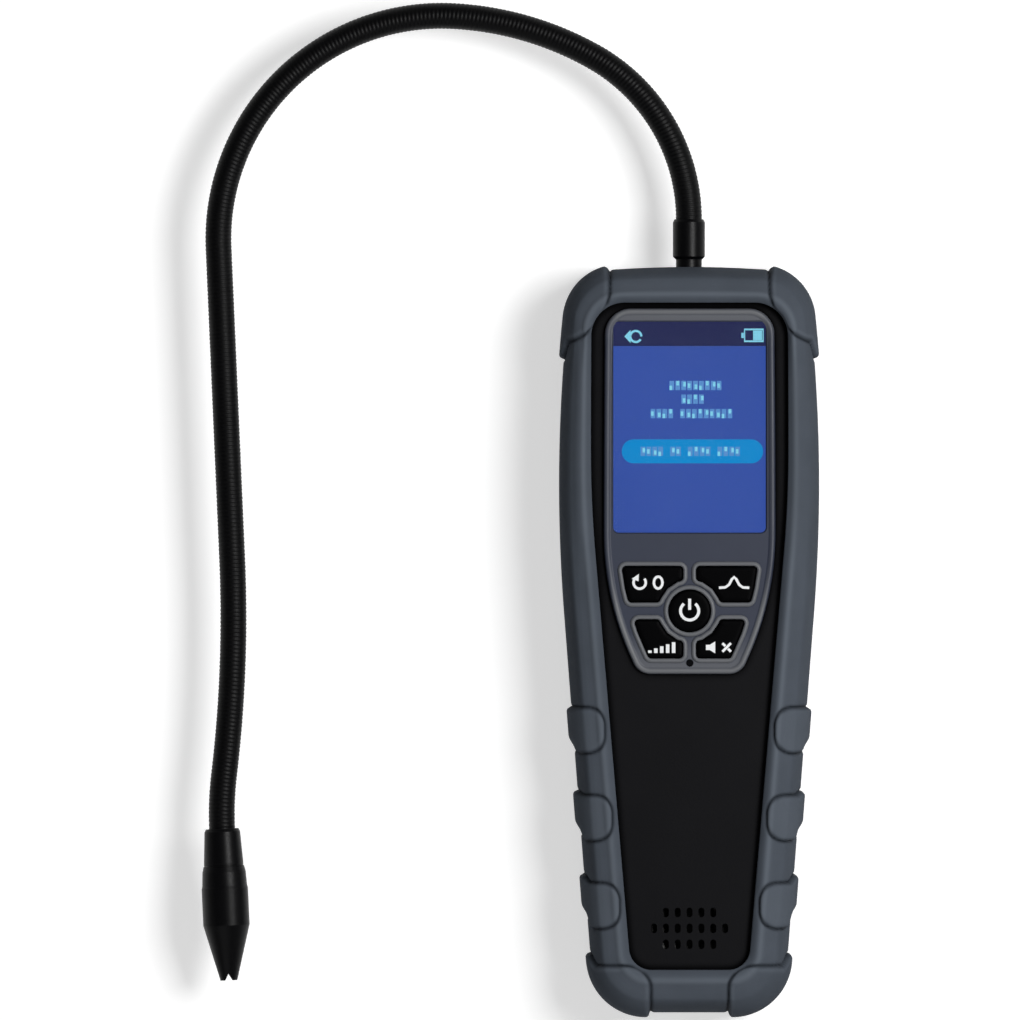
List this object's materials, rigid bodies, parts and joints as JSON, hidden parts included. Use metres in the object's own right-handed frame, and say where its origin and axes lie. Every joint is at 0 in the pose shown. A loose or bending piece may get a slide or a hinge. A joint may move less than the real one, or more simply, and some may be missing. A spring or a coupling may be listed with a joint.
{
  "type": "refrigerant leak detector",
  "caption": "Handheld electronic leak detector: tapered case in a rubber boot with bumpers and grips, colour display over a keypad, and a bendable gooseneck that ends in a notched sensor tip.",
  "frame": {"origin": "middle of the boot's flat back, on the surface the detector lies on", "axes": "+X to the right of the display, +Y along the body to the neck, +Z out of the front"},
  "size_m": [0.1673, 0.275, 0.0378],
  "materials": {
    "boot_rubber": "matte moulded rubber",
    "case_abs": "fine moulded grain",
    "faceplate": "satin",
    "window": "clear polished",
    "display": "lit picture",
    "key_rubber": "satin silicone",
    "led_lens": "dark clear lens",
    "steel": "plated",
    "cell_wrap": "shrink wrap",
    "frame_white": "moulded",
    "board": "solder mask",
    "switch_black": "moulded",
    "foam": "foam",
    "neck_vinyl": "ribbed vinyl",
    "plug_ivory": "moulded",
    "sensor_metal": "bare",
    "felt": "pressed felt"
  },
  "bodies": {
    "detector": {"boot": "boot_rubber", "front_case": "case_abs", "rear_case": "case_abs", "neck_bushing": "case_abs", "neck_ferrule": "case_abs", "tip_collar": "case_abs", "bezel": "faceplate", "display_window": "window", "lcd_panel": "display", "status_led": "led_lens", "case_screws": "steel", "board_screws": "steel", "battery_springs": "steel", "battery_plates": "steel", "battery_cells": "cell_wrap", "lcd_backlight": "frame_white", "main_board": "board", "tact_switches": "switch_black", "speaker": "switch_black", "speaker_ring": "foam", "gooseneck": "neck_vinyl", "probe_lead": "neck_vinyl", "probe_plug": "plug_ivory", "sensor": "sensor_metal"},
    "reset_key": {"key_reset": "key_rubber"},
    "peak_key": {"key_peak": "key_rubber"},
    "sens_key": {"key_sens": "key_rubber"},
    "mute_key": {"key_mute": "key_rubber"},
    "power_key": {"key_power": "key_rubber"},
    "door": {"battery_door": "case_abs"},
    "cover": {"tip_cover": "case_abs", "sensor_filter": "felt"}
  },
  "joints": [
    {"name": "reset_press", "type": "slide", "parent": "detector", "child": "reset_key", "axis": [0, 0, -1], "range_m": [0, 0.0006], "stiffness_N_per_m": 2000},
    {"name": "peak_press", "type": "slide", "parent": "detector", "child": "peak_key", "axis": [0, 0, -1], "range_m": [0, 0.0006], "stiffness_N_per_m": 2000},
    {"name": "sens_press", "type": "slide", "parent": "detector", "child": "sens_key", "axis": [0, 0, -1], "range_m": [0, 0.0006], "stiffness_N_per_m": 2000},
    {"name": "mute_press", "type": "slide", "parent": "detector", "child": "mute_key", "axis": [0, 0, -1], "range_m": [0, 0.0006], "stiffness_N_per_m": 2000},
    {"name": "power_press", "type": "slide", "parent": "detector", "child": "power_key", "axis": [0, 0, -1], "range_m": [0, 0.0006], "stiffness_N_per_m": 2000},
    {"name": "door_hinge", "type": "hinge", "parent": "detector", "child": "door", "pos_m": [0, -0.0054, 0.0017], "axis": [1, 0, 0], "range_deg": [0, 70]},
    {"name": "cover_pull", "type": "slide", "parent": "detector", "child": "cover", "axis": [0.0454, -0.999, 0], "range_m": [0, 0.025]}
  ]
}
